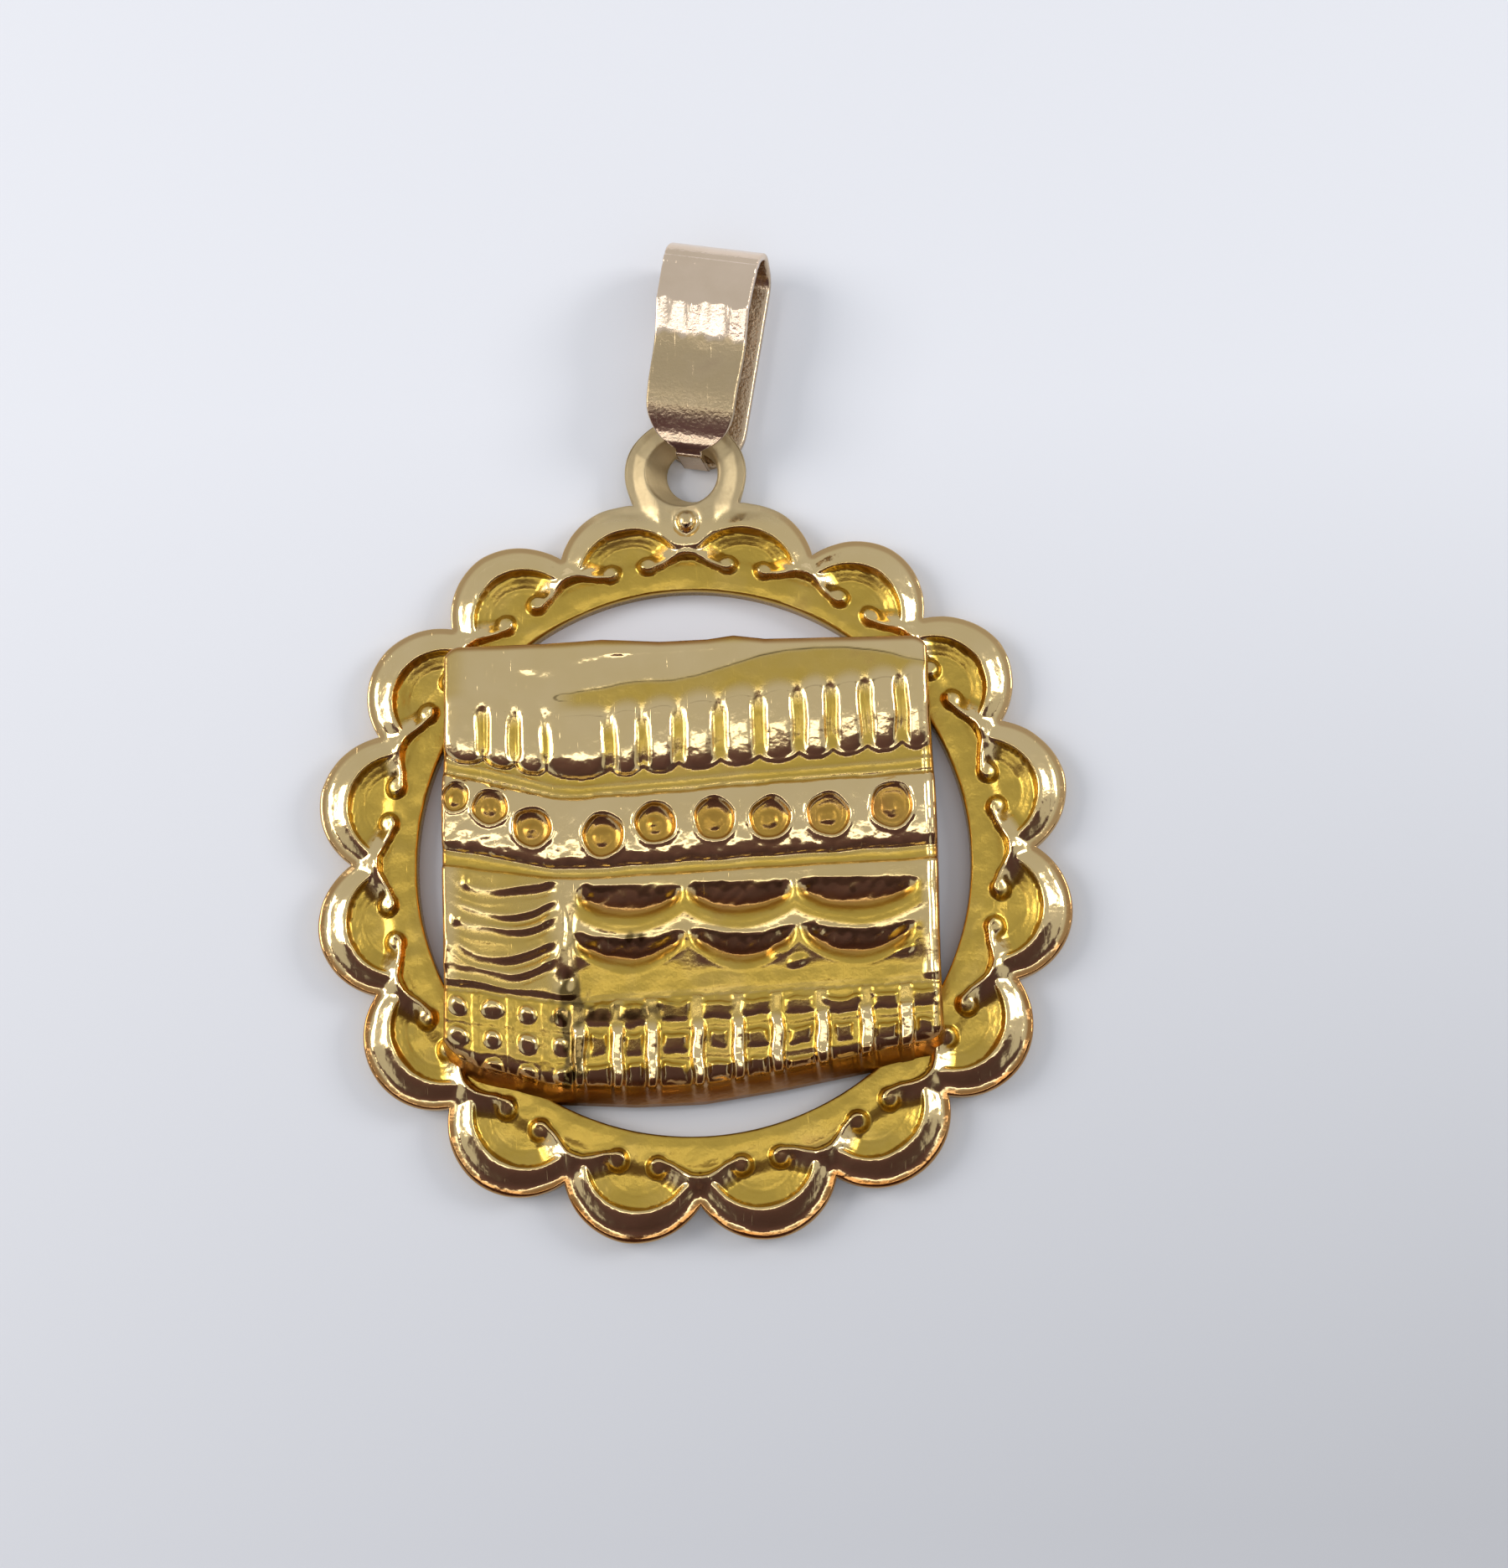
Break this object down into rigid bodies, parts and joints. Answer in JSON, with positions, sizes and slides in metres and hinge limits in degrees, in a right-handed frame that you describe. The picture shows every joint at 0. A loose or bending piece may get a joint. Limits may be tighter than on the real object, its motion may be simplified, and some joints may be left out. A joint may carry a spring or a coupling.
{
  "type": "gold pendant with strap bail",
  "caption": "Round openwork pendant: a scalloped scroll frame with a relief plaque soldered across it, and a folded strap bail that swings in its loop.",
  "frame": {"origin": "middle of the frame's round opening, on the medallion's flat back", "axes": "+X to the wearer's left across the front, +Y towards the loop and the bail, +Z out of the front"},
  "size_m": [0.0312, 0.0426, 0.0033],
  "materials": {
    "yellow_gold": "polished ridges, matt recesses",
    "rose_gold": "worn polish"
  },
  "bodies": {
    "medallion": {"medallion": "yellow_gold"},
    "bail": {"bail": "rose_gold"}
  },
  "joints": [
    {"name": "bail_swing", "type": "hinge", "parent": "medallion", "child": "bail", "pos_m": [0, 0.01883, 0.00095], "axis": [1, 0, 0], "range_deg": [-6, 34]}
  ]
}
